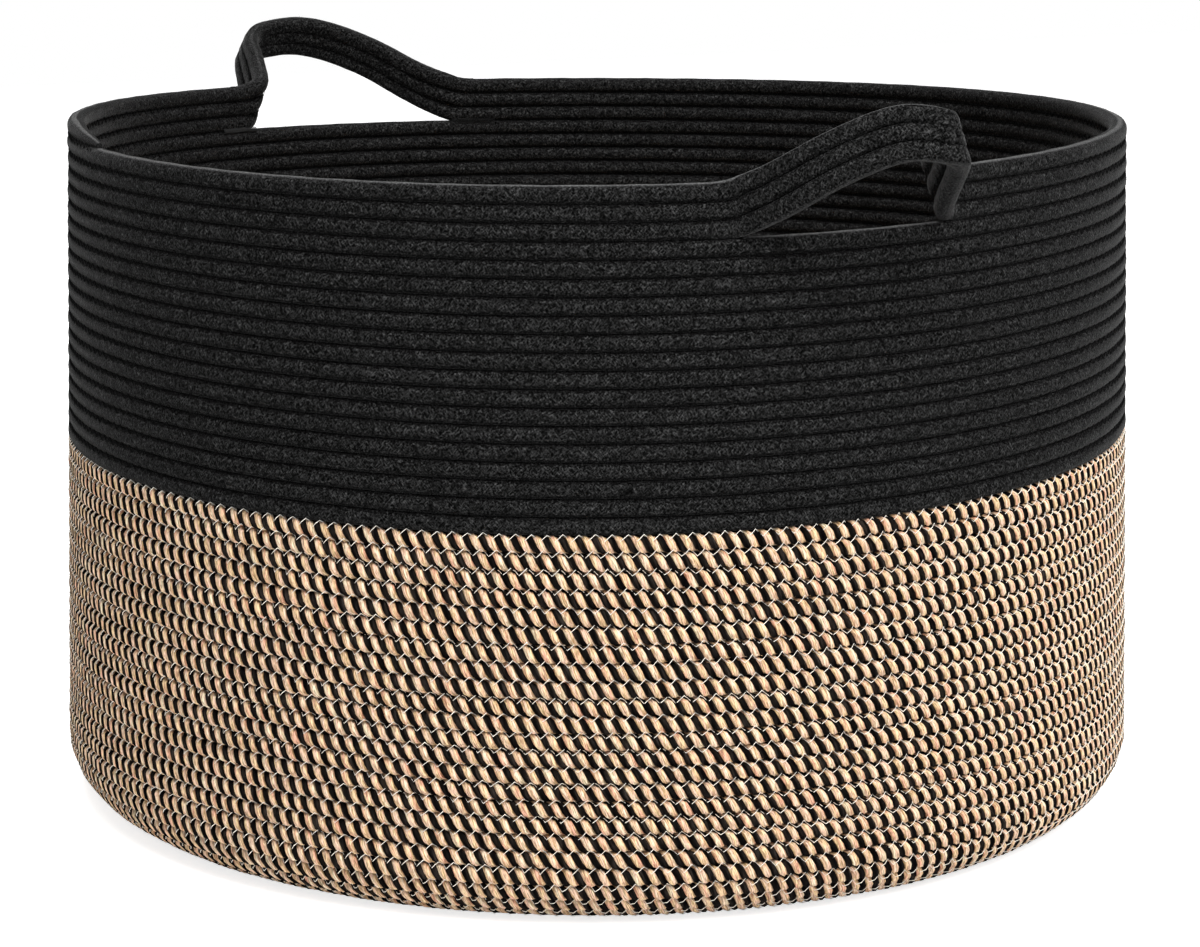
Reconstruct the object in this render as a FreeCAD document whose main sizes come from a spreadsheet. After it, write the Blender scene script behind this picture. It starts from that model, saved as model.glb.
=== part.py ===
"""Coiled rope storage basket with two soft rope handles, as a parametric FreeCAD document (millimetres).

The basket is one long rope, wound flat for the base and upwards for the wall, with every turn sewn to the
turn before it. A turn of rope in the wall is called a course. The top courses are left loose over two
spans, where they bow out and up as the handles. Each handle bends in and out about the chord through
its two roots.

Row frame: +Z up, the origin at the middle of the base's underside, the handles towards +X and -X.
"""

import FreeCAD, Part
import math
import os

from FreeCAD import Placement, Rotation, Vector

document = FreeCAD.newDocument("RopeBasket")

# ---------------------------------------------------------------- driving dimensions (mm and degrees)
SIZES = [
    ("course_height", 8.4, "rope thickness from seam to seam"),
    ("rope_width", 9.0, "rope thickness through the wall"),
    ("groove_depth", 2.2, "how far each sewn seam lies below the rope's crown"),
    ("base_crown_flat", 4.0, "width of each base turn that is pressed flat"),
    ("base_centre_radius", 9.5, "the tight curl that the base is wound around"),
    ("base_centre_round", 1.8, "rounding of the curl's edges"),
    ("base_turns", 29, "turns in the flat of the base"),
    ("edge_courses", 5, "courses in the rounded edge between base and wall"),
    ("wall_lean", 1.6, "how far the wall leans inwards, degrees"),
    ("lower_two_tone_courses", 10, "two-tone courses above the edge, lower band"),
    ("upper_two_tone_courses", 9, "two-tone courses, upper band"),
    ("lower_black_courses", 8, "black courses, lower band"),
    ("upper_black_courses", 8, "black courses below the handles, upper band"),
    ("rim_courses", 3, "top courses, which also make the handles"),
    ("right_handle_angle", -4.3, "direction of the right handle's middle from +X, degrees"),
    ("right_half_span", 51.6, "half the chord of the right hand hole"),
    ("left_handle_angle", 184.3, "direction of the left handle's middle from +X, degrees"),
    ("left_half_span", 67.0, "half the chord of the left hand hole"),
    ("strap_rope_radius", 4.0, "a handle's rope, which nothing presses flat"),
    ("root_clearance", 0.3, "gap at a handle's roots"),
    ("root_run", 12.0, "straight length of rope at a handle's folded root"),
    ("ramp_run", 6.0, "straight length of rope at a handle's rising root"),
    ("thread_radius", 0.45, "sewing thread"),
    ("thread_clearance", 0.05, "gap between the thread and the groove's walls"),
]

sheet = document.addObject("Spreadsheet::Sheet", "Sizes")
for row, (alias, value, note) in enumerate(SIZES, start=1):
    sheet.set(f"A{row}", alias)
    sheet.set(f"B{row}", str(value))
    sheet.set(f"C{row}", note)
    sheet.setAlias(f"B{row}", alias)
document.recompute()


def size(alias):
    return float(sheet.get(alias))


def count(alias):
    return int(sheet.get(alias))


COURSE = size("course_height")
WIDTH = size("rope_width")
GROOVE = size("groove_depth")
STRAP_RADIUS = size("strap_rope_radius")
CLEARANCE = size("root_clearance")
THREAD = size("thread_radius")

# ---------------------------------------------------------------- the meridian that the rope follows
LEAN = math.radians(size("wall_lean"))
FLAT_LENGTH = size("base_centre_radius") + count("base_turns") * COURSE
EDGE_LENGTH = count("edge_courses") * COURSE
EDGE_SWEEP = math.pi / 2 + LEAN
EDGE_RADIUS = EDGE_LENGTH / EDGE_SWEEP
EDGE_CENTRE = Vector(FLAT_LENGTH, 0, WIDTH / 2 + EDGE_RADIUS)


def meridian(length):
    """The rope's centre line in the XZ plane, and the outward normal, at a length from the middle of the base."""
    if length <= FLAT_LENGTH:
        return Vector(length, 0, WIDTH / 2), Vector(0, 0, -1)
    turned = min((length - FLAT_LENGTH) / EDGE_RADIUS, EDGE_SWEEP) - math.pi / 2
    normal = Vector(math.cos(turned), 0, math.sin(turned))
    straight = max(length - FLAT_LENGTH - EDGE_LENGTH, 0)
    tangent = Vector(-normal.z, 0, normal.x)
    return EDGE_CENTRE + normal * EDGE_RADIUS + tangent * straight, normal


def beside(length, offset):
    """The point that lies offset outwards from the rope's centre line."""
    point, normal = meridian(length)
    return point + normal * offset


# Where each band of courses starts, as a length along the meridian.
EDGE_START = FLAT_LENGTH
LOWER_TWO_TONE_START = EDGE_START + EDGE_LENGTH
UPPER_TWO_TONE_START = LOWER_TWO_TONE_START + count("lower_two_tone_courses") * COURSE
LOWER_BLACK_START = UPPER_TWO_TONE_START + count("upper_two_tone_courses") * COURSE
UPPER_BLACK_START = LOWER_BLACK_START + count("lower_black_courses") * COURSE
RIM_START = UPPER_BLACK_START + count("upper_black_courses") * COURSE
RIM_RADIUS = meridian(RIM_START + COURSE / 2)[0].x
HINGE_HEIGHT = meridian(RIM_START - COURSE / 2)[0].z
HOLE_FLOOR = meridian(RIM_START)[0].z


# ---------------------------------------------------------------- bands of sewn courses
def crown_radius(flat):
    """Radius of the curve from a seam up to a course's crown, whose flat top has this width."""
    reach = (COURSE - flat) / 2
    return (reach * reach + GROOVE * GROOVE) / (2 * GROOVE)


def course_side(start, side, flat):
    """One course's outline from its first seam to its second, on the outer (1) or inner (-1) side."""
    reach = (COURSE - flat) / 2
    radius = crown_radius(flat)
    swing = math.asin(reach / radius) / 2
    near = radius * math.sin(swing)
    drop = radius * (1 - math.cos(swing))
    crown = WIDTH / 2
    stations = [
        (start, crown - GROOVE),
        (start + reach - near, crown - drop),
        (start + reach, crown),
        (start + COURSE - reach, crown),
        (start + COURSE - reach + near, crown - drop),
        (start + COURSE, crown - GROOVE),
    ]
    points = [beside(length, side * offset) for length, offset in stations]
    edges = [Part.Arc(points[0], points[1], points[2]).toShape()]
    if flat > 0:
        edges.append(Part.LineSegment(points[2], points[3]).toShape())
    edges.append(Part.Arc(points[3], points[4], points[5]).toShape())
    return edges


def band_profile(start, courses, flat):
    """The closed section of neighbouring courses, cut square to the meridian at both ends."""
    end = start + courses * COURSE
    seam = WIDTH / 2 - GROOVE
    edges = [
        Part.LineSegment(beside(start, -seam), beside(start, seam)).toShape(),
        Part.LineSegment(beside(end, -seam), beside(end, seam)).toShape(),
    ]
    for course in range(courses):
        for side in (1, -1):
            edges += course_side(start + course * COURSE, side, flat)
    return Part.Face(Part.Wire(Part.sortEdges(edges)[0]))


def thread_profile(seams, side, flat):
    """Sections of the thread that lies in each of these seams, one square stood on its corner for each."""
    reach = (COURSE - flat) / 2
    radius = crown_radius(flat)
    to_centre = math.sqrt((radius + THREAD + size("thread_clearance")) ** 2 - reach ** 2)
    offset = WIDTH / 2 - radius + to_centre
    faces = []
    for seam in seams:
        corners = [
            beside(seam, side * (offset - THREAD)),
            beside(seam + THREAD, side * offset),
            beside(seam, side * (offset + THREAD)),
            beside(seam - THREAD, side * offset),
        ]
        faces.append(Part.Face(Part.makePolygon(corners + corners[:1])))
    return Part.makeCompound(faces)


def turned(label, profile):
    """A profile turned round the basket's axis."""
    section = document.addObject("Part::Feature", label + "_section")
    section.Shape = profile
    band = document.addObject("Part::Revolution", label)
    band.Label = label
    band.Source = section
    band.Axis = Vector(0, 0, 1)
    band.Base = Vector(0, 0, 0)
    band.Angle = 360
    band.Solid = True
    return band


parts = []

curl = document.addObject("Part::Cylinder", "base_curl")
curl.setExpression("Radius", "Sizes.base_centre_radius")
curl.setExpression("Height", "Sizes.rope_width")
document.recompute()
centre = document.addObject("Part::Fillet", "base_centre")
centre.Label = "base_centre"
centre.Base = curl
rounding = size("base_centre_round")
centre.Edges = [
    (number, rounding, rounding)
    for number, edge in enumerate(curl.Shape.Edges, start=1)
    if edge.Closed and edge.Length > curl.Radius.Value
]
parts.append(centre)

BANDS = [
    ("base_coil", size("base_centre_radius"), count("base_turns"), size("base_crown_flat")),
    ("edge_courses", EDGE_START, count("edge_courses"), 0),
    ("two_tone_wall_lower", LOWER_TWO_TONE_START, count("lower_two_tone_courses"), 0),
    ("two_tone_wall_upper", UPPER_TWO_TONE_START, count("upper_two_tone_courses"), 0),
    ("black_wall_lower", LOWER_BLACK_START, count("lower_black_courses"), 0),
    ("black_wall_upper", UPPER_BLACK_START, count("upper_black_courses"), 0),
]
for label, start, courses, flat in BANDS:
    parts.append(turned(label, band_profile(start, courses, flat)))


# ---------------------------------------------------------------- sewing thread, lying in the seams
def seams_between(first, last):
    """The seams from one length along the meridian up to, but without, another."""
    return [first + number * COURSE for number in range(round((last - first) / COURSE))]


base_seams = seams_between(size("base_centre_radius") + COURSE, EDGE_START)
two_tone_seams = seams_between(EDGE_START + COURSE, LOWER_BLACK_START)
black_seams = seams_between(LOWER_BLACK_START, RIM_START)
rim_seams = seams_between(RIM_START + COURSE, RIM_START + count("rim_courses") * COURSE)
parts.append(turned("base_thread", thread_profile(base_seams, -1, size("base_crown_flat"))))
parts.append(turned("two_tone_thread", thread_profile(two_tone_seams, 1, 0)))
parts.append(turned("black_thread", thread_profile(black_seams, 1, 0)))


# ---------------------------------------------------------------- rim, opened for the two handles
HANDLES = [("right", "right_handle_angle", "right_half_span"), ("left", "left_handle_angle", "left_half_span")]
HALF_EXTENT = RIM_RADIUS + WIDTH

windows = []
for side, angle, half_span in HANDLES:
    window = document.addObject("Part::Box", side + "_window")
    window.setExpression("Length", f"Sizes.{half_span}")
    window.setExpression("Width", f"2 * Sizes.{half_span}")
    window.setExpression("Height", "2 * Sizes.rim_courses * Sizes.course_height")
    facing = Rotation(Vector(0, 0, 1), size(angle))
    corner = Vector(RIM_RADIUS - size(half_span) / 2, -size(half_span), HOLE_FLOOR - COURSE)
    window.Placement = Placement(facing.multVec(corner), facing)
    windows.append(window)
both_windows = document.addObject("Part::MultiFuse", "both_windows")
both_windows.Shapes = windows

halves = []
for side, low_y in (("front", -HALF_EXTENT), ("rear", 0)):
    half = document.addObject("Part::Box", side + "_half")
    half.Length = 2 * HALF_EXTENT
    half.Width = HALF_EXTENT
    half.Height = 2 * HOLE_FLOOR
    half.Placement = Placement(Vector(-HALF_EXTENT, low_y, 0), Rotation())
    halves.append((side, half))

RIM_PROFILES = [
    ("rim", band_profile(RIM_START, count("rim_courses"), 0)),
    ("rim_thread", thread_profile(rim_seams, 1, 0)),
]
for name, profile in RIM_PROFILES:
    ring = turned(name + "_ring", profile)
    opened = document.addObject("Part::Cut", name + "_opened")
    opened.Base = ring
    opened.Tool = both_windows
    for side, half in halves:
        arc = document.addObject("Part::Common", f"{name}_{side}")
        arc.Label = f"{name}_{side}"
        arc.Base = opened
        arc.Tool = half
        parts.append(arc)

# ---------------------------------------------------------------- handles: loose rope between two roots
# Each route is a list of (share of the half span along the chord, outwards from the rim, up from the hole's
# floor). It rises gently at the first root and comes back to the second along a steep leg with a fold.
LOWER_ROUTE = [
    (-0.72, 8, 9.5), (-0.58, 24, 20.5), (-0.34, 39, 31.5), (0.08, 49, 40.5),
    (0.50, 54, 39), (0.80, 43, 34), (0.86, 27, 17), (0.79, 8, 7.5),
]
UPPER_ROUTE = [
    (-0.76, 3.5, 26), (-0.62, 16.5, 36), (-0.36, 31, 46.5), (0.08, 41.5, 56),
    (0.48, 50, 55.5), (0.73, 36, 49), (0.79, 14, 29.5), (0.75, 4, 24),
]
TANGENT_SHARE = 0.45   # how much of the shorter run each of its arcs takes up
LAST_ROPE = count("rim_courses") - 1
SEAM_REACH = math.hypot(COURSE / 2, WIDTH / 2 - GROOVE)
FIRST_ROPE_HEIGHT = HINGE_HEIGHT + SEAM_REACH + CLEARANCE + STRAP_RADIUS


def handle_route(rope, half_span):
    """The points of one handle rope, counted from the lowest, in the handle's frame (X outwards, Y along)."""
    share = rope / LAST_ROPE
    root_x = math.sqrt(RIM_RADIUS ** 2 - half_span ** 2)
    root_z = FIRST_ROPE_HEIGHT + rope * COURSE
    points = [
        Vector(root_x, CLEARANCE - half_span, root_z),
        Vector(root_x, size("ramp_run") - half_span, root_z),
    ]
    for low, high in zip(LOWER_ROUTE, UPPER_ROUTE):
        along, out, up = (a + (b - a) * share for a, b in zip(low, high))
        points.append(Vector(RIM_RADIUS + out, along * half_span, HOLE_FLOOR + up))
    points.append(Vector(root_x, half_span - size("root_run"), root_z))
    points.append(Vector(root_x, half_span - CLEARANCE, root_z))
    return points


def rounded_path(points):
    """Straight runs joined by tangent arcs, each as large as its two runs allow."""
    runs = [b - a for a, b in zip(points, points[1:])]
    edges = []
    leave = points[0]
    tightest = math.inf
    for corner, before, after in zip(points[1:], runs, runs[1:]):
        half_turn = before.getAngle(after) / 2
        tangent_length = TANGENT_SHARE * min(before.Length, after.Length)
        radius = tangent_length / math.tan(half_turn)
        tightest = min(tightest, radius)
        into = Vector(before).normalize()
        out_of = Vector(after).normalize()
        first = corner - into * tangent_length
        last = corner + out_of * tangent_length
        inwards = (out_of - into).normalize()
        middle = corner + inwards * (radius / math.cos(half_turn) - radius)
        edges.append(Part.LineSegment(leave, first).toShape())
        edges.append(Part.Arc(first, middle, last).toShape())
        leave = last
    edges.append(Part.LineSegment(leave, points[-1]).toShape())
    return Part.Wire(edges), tightest


def rope_tube(label, points, facing):
    """A round rope along the points, standing in the row frame."""
    path, tightest = rounded_path(points)
    end = Part.Wire(Part.makeCircle(STRAP_RADIUS, points[0], points[1] - points[0]))
    tube = document.addObject("Part::Feature", label)
    tube.Label = label
    tube.Shape = path.makePipeShell([end], True, False)
    tube.Placement = Placement(Vector(0, 0, 0), facing)
    expected = math.pi * STRAP_RADIUS ** 2 * path.Length
    print(f"{label}: {path.Length:.1f} mm of rope, tightest bend {tightest:.1f} mm, "
          f"volume {tube.Shape.Volume / expected:.3f} of section times length")
    return tube


ROPE_NAMES = {0: "lower", LAST_ROPE: "upper"}
for side, angle, half_span in HANDLES:
    facing = Rotation(Vector(0, 0, 1), size(angle))
    for rope in range(count("rim_courses")):
        name = ROPE_NAMES.get(rope, "middle" if LAST_ROPE == 2 else f"middle_{rope}")
        parts.append(rope_tube(f"{side}_handle_{name}_rope", handle_route(rope, size(half_span)), facing))

# ---------------------------------------------------------------- checks and export
document.recompute()
for item in document.Objects:
    if "Invalid" in item.State or "Error" in item.State:
        raise RuntimeError(f"{item.Label} could not be computed: {item.State}")
os.makedirs("parts", exist_ok=True)
for part in parts:
    if part.Shape.isNull() or not part.Shape.isValid() or part.Shape.Volume <= 0:
        raise RuntimeError(f"{part.Label} has no valid solid")
for part in parts:
    part.Shape.exportStep(f"parts/{part.Label}.step")
    box = part.Shape.BoundBox
    print(f"{part.Label}: {len(part.Shape.Solids)} solid(s), {part.Shape.Volume / 1000:.1f} cm3, "
          f"z {box.ZMin:.1f} to {box.ZMax:.1f}")
print(f"rim rope radius {RIM_RADIUS:.2f}, hinge height {HINGE_HEIGHT:.2f}, hole floor {HOLE_FLOOR:.2f}")
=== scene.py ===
import math

import bmesh
import bpy
import numpy as np
from mathutils import Matrix, Vector


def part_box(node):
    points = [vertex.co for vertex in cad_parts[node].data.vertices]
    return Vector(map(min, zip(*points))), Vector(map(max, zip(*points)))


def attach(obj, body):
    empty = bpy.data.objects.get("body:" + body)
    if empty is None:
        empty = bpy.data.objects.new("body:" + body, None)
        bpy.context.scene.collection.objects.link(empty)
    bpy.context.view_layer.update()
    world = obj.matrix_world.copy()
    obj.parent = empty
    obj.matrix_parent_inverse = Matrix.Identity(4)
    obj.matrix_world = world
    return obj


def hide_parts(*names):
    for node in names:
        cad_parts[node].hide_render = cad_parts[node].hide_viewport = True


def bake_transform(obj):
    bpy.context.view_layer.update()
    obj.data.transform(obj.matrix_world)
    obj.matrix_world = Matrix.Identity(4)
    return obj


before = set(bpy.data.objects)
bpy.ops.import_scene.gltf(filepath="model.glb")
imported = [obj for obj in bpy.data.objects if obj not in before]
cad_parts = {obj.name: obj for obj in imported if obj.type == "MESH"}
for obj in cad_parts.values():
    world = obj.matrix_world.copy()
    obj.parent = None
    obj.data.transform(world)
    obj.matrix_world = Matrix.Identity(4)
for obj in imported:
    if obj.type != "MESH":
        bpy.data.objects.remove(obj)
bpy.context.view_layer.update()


# ---------------------------------------------------------------- base: two-tone rope wound flat
# The base is a soft cotton rope of two tan and two black strands, laid up right-handed. It starts in a tight
# curl at the middle and is wound outwards, every turn lying against the turn before and sewn to it.
FULL_TURN = 2 * math.pi
COURSE = 0.0084             # the rope from seam to seam
CURL_RADIUS = 0.0095        # the curl that the first full turn goes round
BASE_TURNS = 29
EDGE_TURNS = 5
TWO_TONE_TURNS = 53         # all turns of the two-tone rope, from the curl to the change of rope
WALL_LEAN = math.radians(1.6)
FIRST_TURN = -1.05          # the rope's end, curled in at the middle
LAST_TURN = 72.32           # the rope's other end, at the rim
START_AZIMUTH = math.radians(150.9)
RIGHT_HAND = math.radians(60.9)      # where the right side faces, seen from in front
ROPE_LAY = 0.0148           # the length in which a strand goes once round the rope
ROPE_HALF_HEIGHT = 0.00428
ROPE_HALF_WIDTH = 0.0045
PRESSED_FLAT = 0.0006       # what would come lower than this is pressed flat against the floor
SADDLE = 0.0020             # how far the sides stand up and the front and back sink
SADDLE_HEIGHT = 0.12        # the saddle is full from here up
TILT = (-0.0035, 0.0011, -0.0021)    # the rim's rise all round, to the right and to the back
SAG = 0.0020                # the front courses sag most at one height
SAG_HEIGHT = 0.115
SAG_REACH = 0.055

coil_low, coil_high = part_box("base_coil")
FLAT_REACH = CURL_RADIUS + BASE_TURNS * COURSE
EDGE_SWEEP = math.pi / 2 + WALL_LEAN
EDGE_RADIUS = EDGE_TURNS * COURSE / EDGE_SWEEP
FLAT_HEIGHT = (coil_low.z + coil_high.z) / 2
RIM_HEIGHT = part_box("rim_rear")[1].z


def meridian(reach):
    """Radius, height and outward normal of the rope's line, at a distance from the middle of the base."""
    swing = np.clip((reach - FLAT_REACH) / EDGE_RADIUS, 0, EDGE_SWEEP) - math.pi / 2
    out, up = np.cos(swing), np.sin(swing)
    straight = np.maximum(reach - FLAT_REACH - EDGE_RADIUS * EDGE_SWEEP, 0)
    radius = FLAT_REACH + np.minimum(reach - FLAT_REACH, 0) + out * EDGE_RADIUS - up * straight
    return radius, FLAT_HEIGHT + EDGE_RADIUS + up * EDGE_RADIUS + out * straight, out, up


def settled(azimuth, height):
    """How far the soft wall has sunk (or is held up) here: a gentle saddle, and a little sag in front."""
    view = azimuth - RIGHT_HAND
    all_round, rightwards, backwards = TILT
    saddle = SADDLE * np.clip(height / SADDLE_HEIGHT, 0, 1) * np.cos(2 * view)
    tilt = height / RIM_HEIGHT * (all_round + rightwards * np.cos(view) + backwards * np.sin(view))
    sag = -SAG * np.exp(-(((height - SAG_HEIGHT) / SAG_REACH) ** 2)) * np.clip(-np.sin(view), 0, 1) ** 2
    return saddle + tilt + sag


def wound(turns, outward, upward):
    """Where points beside the rope's line lie once it is wound: outwards, and up (or out) the meridian."""
    radius, height, out, up = meridian(CURL_RADIUS + COURSE * turns + upward)
    radius = radius + out * outward
    height = height + up * outward
    azimuth = FULL_TURN * turns + START_AZIMUTH
    height = height + settled(azimuth, height)
    pressed = PRESSED_FLAT * np.exp(np.minimum(height / PRESSED_FLAT - 1, 0))
    height = np.where(height < PRESSED_FLAT, pressed, height)
    return np.column_stack((radius * np.cos(azimuth), radius * np.sin(azimuth), height))


# A table of the rope's length against its turns.
turn_steps = np.linspace(FIRST_TURN, LAST_TURN, 4001)
turn_lengths = FULL_TURN * np.diff(turn_steps) * meridian(CURL_RADIUS + COURSE * turn_steps[:-1])[0]
rope_lengths = np.concatenate(([0.0], np.cumsum(turn_lengths)))


def length_at(turns):
    """How much rope there is from its first end up to a turn."""
    return np.interp(turns, turn_steps, rope_lengths)


def turns_at(length):
    """The turn that is reached after this length of rope."""
    return np.interp(length, rope_lengths, turn_steps)


def drift(along, seed, waves, size):
    """A smooth, irregular wander along the rope, made of a few waves of these lengths."""
    random = np.random.default_rng(seed)
    total = 0
    for wave in waves:
        phase = random.uniform(0, FULL_TURN)
        total = total + np.sin(FULL_TURN * along / (wave * random.uniform(0.85, 1.18)) + phase)
    return size * total / len(waves)


def slack_at(along):
    """How far the rope lies out of the wall's even face here."""
    return drift(along, 3, (0.045, 0.11, 0.27), 0.00022)


def as_mesh(name, bm):
    """What was built in bmesh, as a mesh."""
    mesh = bpy.data.meshes.new(name)
    bm.to_mesh(mesh)
    bm.free()
    return mesh


def in_scene(name, mesh):
    """An object that holds a mesh, in the scene and at the origin."""
    thing = bpy.data.objects.new(name, mesh)
    bpy.context.scene.collection.objects.link(thing)
    return thing


def joined_mesh(name, meshes):
    """Several meshes joined as one."""
    joined = bmesh.new()
    for mesh in meshes:
        joined.from_mesh(mesh)
        bpy.data.meshes.remove(mesh)
    return as_mesh(name, joined)


def worked_out(holder):
    """An object's mesh, with what its modifiers or its curve make of it."""
    return bpy.data.meshes.new_from_object(holder.evaluated_get(bpy.context.evaluated_depsgraph_get()))


def lengthen(name, bm, lay, copies):
    """Repeats one lay of a cord end to end as a mesh, closed at both ends."""
    one = as_mesh(name + "_lay", bm)
    holder = in_scene(name + "_lay", one)
    array = holder.modifiers.new("lays", "ARRAY")
    array.use_relative_offset = False
    array.use_constant_offset = True
    array.constant_offset_displace = (lay, 0, 0)
    array.count = copies
    array.use_merge_vertices = True
    array.merge_threshold = 0.00002
    mesh = worked_out(holder)
    mesh.name = name
    bpy.data.objects.remove(holder)
    bpy.data.meshes.remove(one)
    bm = bmesh.new()
    bm.from_mesh(mesh)
    ends = [edge for edge in bm.edges if edge.is_boundary]
    for edge in ends:
        edge.smooth = False
    bmesh.ops.holes_fill(bm, edges=ends)
    bmesh.ops.recalc_face_normals(bm, faces=bm.faces)
    bm.to_mesh(mesh)
    bm.free()
    return mesh


def points_of(mesh):
    """A mesh's points, one row each."""
    points = np.empty(len(mesh.vertices) * 3, np.float32)
    mesh.vertices.foreach_get("co", points)
    return points.reshape(-1, 3).astype(float)


def place_points(mesh, points, rope_place, seamward=0, bare=0):
    """Moves a straight mesh's points, and keeps where each lay on the straight rope.

    It also keeps how near each is to a seam, and how near to an edge that nothing is sewn to (1 at either);
    the materials paint shade by the first and a highlight by the second.
    """
    mesh.vertices.foreach_set("co", points.astype(np.float32).ravel())
    kept = mesh.attributes.new("rope_place", "FLOAT_VECTOR", "POINT")
    kept.data.foreach_set("vector", rope_place.astype(np.float32).ravel())
    for name, nearness in (("seamward", seamward), ("bare_edge", bare)):
        near = mesh.attributes.new(name, "FLOAT", "POINT")
        near.data.foreach_set("value", (np.zeros(len(points)) + nearness).astype(np.float32))
    mesh.update()


def spun_section(section, lay, steps, twist):
    """A closed section (y inwards, z upwards) carried along X over one lay, turning as it goes."""
    bm = bmesh.new()
    verts = [bm.verts.new((0, y, z)) for y, z in section]
    edges = [bm.edges.new((a, b)) for a, b in zip(verts, verts[1:] + verts[:1])]
    bmesh.ops.spin(bm, geom=verts + edges, cent=(0, 0, 0), axis=(1, 0, 0),
                   dvec=(lay / steps, 0, 0), angle=twist, steps=steps)
    bmesh.ops.recalc_face_normals(bm, faces=bm.faces)
    for face in bm.faces:
        face.smooth = True
    return bm


TAN_SHARE = math.radians(49)         # half of the angle that a tan strand takes up on the rope's outside
TAN_CROWN = 0.985           # the strands' highest points, as shares of the rope's radius
BLACK_CROWN = 1.0
GROOVE = 0.80               # the grooves between them
STRAND_ROUND = 0.965        # a strand's height halfway down to its groove, as a share of its highest
TAN_STRAND, BLACK_STRAND = 0, 1


def four_strands(detailed):
    """The section of the four-strand rope at radius 1, with a groove between strands."""
    section = []
    for number in range(4):
        middle = number * math.pi / 2
        half, crown = ((TAN_SHARE, TAN_CROWN), (math.pi / 2 - TAN_SHARE, BLACK_CROWN))[number % 2]
        section.append((middle - half, GROOVE))
        if detailed:
            flank = crown * STRAND_ROUND
            section += [(middle - half / 2, flank), (middle, crown), (middle + half / 2, flank)]
        else:
            section += [(middle - half / 2.6, crown), (middle + half / 2.6, crown)]
    return [(radius * math.cos(angle), radius * math.sin(angle)) for angle, radius in section]


def two_tone_lay(detailed, steps):
    """One lay of the two-tone rope at radius 1 across, straight, with its strands in their colours."""
    bm = spun_section(four_strands(detailed), ROPE_LAY, steps, FULL_TURN)
    for face in bm.faces:
        centre = face.calc_center_median()
        angle = math.atan2(centre.z, centre.y) - FULL_TURN * centre.x / ROPE_LAY
        face.material_index = TAN_STRAND if abs(math.cos(angle)) > math.cos(TAN_SHARE) else BLACK_STRAND
    for edge in bm.edges:
        if len({face.material_index for face in edge.link_faces}) > 1:
            edge.smooth = False
    return bm


SEWN_PRESS = 3.3            # 2 leaves the rope round; more makes it squarer
FACE_SPREAD = 0.26          # how far the sewing flattens the strands out over the rope's two faces
END_SIZE = 0.8              # the rope's inner end is thinned to this share, over this length
END_TAPER = 0.03


def squared(inward, upward, press, spread=0.0):
    """Presses a round section towards the squarer one that its neighbours give it."""
    angle = np.arctan2(upward, inward)
    size = np.hypot(inward, upward)
    angle = angle + spread * np.sin(2 * angle)
    wider = size * (np.abs(np.cos(angle)) ** press + np.abs(np.sin(angle)) ** press) ** (-1 / press)
    return np.cos(angle) * wider, np.sin(angle) * wider


def two_tone_rope(name, first_turn, last_turn, detailed, steps):
    """A stretch of the two-tone rope, made straight and then wound."""
    start, end = length_at(first_turn), length_at(last_turn)
    copies = round((end - start) / ROPE_LAY)
    mesh = lengthen(name, two_tone_lay(detailed, steps), ROPE_LAY, copies)
    straight = points_of(mesh)
    along = straight[:, 0] * (end - start) / (copies * ROPE_LAY) + start
    angle = FULL_TURN * straight[:, 0] / ROPE_LAY
    inward, upward = straight[:, 1], straight[:, 2]
    strand_y = inward * np.cos(angle) + upward * np.sin(angle)
    strand_z = upward * np.cos(angle) - inward * np.sin(angle)
    twist = drift(along, 13, (0.0061, 0.0093, 0.0157), 0.08)
    inward, upward = inward - upward * twist, upward + inward * twist
    rope_place = np.column_stack((along, strand_y * ROPE_HALF_WIDTH, strand_z * ROPE_HALF_WIDTH))
    plump = 1 + drift(along, 11, (0.013, 0.021, 0.034), 0.03)
    inward, upward = squared(inward * plump, upward * plump, SEWN_PRESS, FACE_SPREAD)
    # Nearness to a seam, for the painted shade towards the seams.
    seamward = np.abs(upward)
    inner_end = np.clip(END_SIZE + (along - length_at(FIRST_TURN)) / END_TAPER, END_SIZE, 1)
    slip = drift(along, 5, (0.31, 0.83, 1.9), 0.0030) * inner_end
    placed = wound(turns_at(along + slip), -inward * ROPE_HALF_WIDTH * inner_end + slack_at(along),
                   upward * ROPE_HALF_HEIGHT * inner_end)
    place_points(mesh, placed, rope_place, seamward)
    rope = in_scene(name, mesh)
    rope.data.materials.append(tan_cotton)
    rope.data.materials.append(dark_cotton)
    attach(rope, "root")
    return rope


def kept_value(tree, name, output):
    """What a mesh keeps for each of its points under this name."""
    kept = tree.nodes.new("ShaderNodeAttribute")
    kept.attribute_name = name
    return kept.outputs[output]


def rope_fibres(name):
    """A cotton material's start: its node tree, its shader, and the straight rope's coordinates."""
    material = bpy.data.materials.new(name)
    material.use_nodes = True
    tree = material.node_tree
    return material, tree, tree.nodes["Principled BSDF"], kept_value(tree, "rope_place", "Vector")


def mapped_noise(tree, place, way, lean, size, detail):
    """Noise in coordinates that are stretched by this size (or by this scale) and leaned over."""
    mapping = tree.nodes.new("ShaderNodeMapping")
    mapping.vector_type = way
    mapping.inputs["Rotation"].default_value = (0, lean, 0)
    mapping.inputs["Scale"].default_value = size
    tree.links.new(place, mapping.inputs["Vector"])
    noise = tree.nodes.new("ShaderNodeTexNoise")
    noise.inputs["Scale"].default_value = 1.0
    noise.inputs["Detail"].default_value = detail
    tree.links.new(mapping.outputs["Vector"], noise.inputs["Vector"])
    return noise.outputs["Fac"]


def stretched_noise(tree, place, scale, detail):
    """Noise over the rope, finer or coarser along it and across it."""
    return mapped_noise(tree, place, "POINT", 0, scale, detail)


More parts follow.
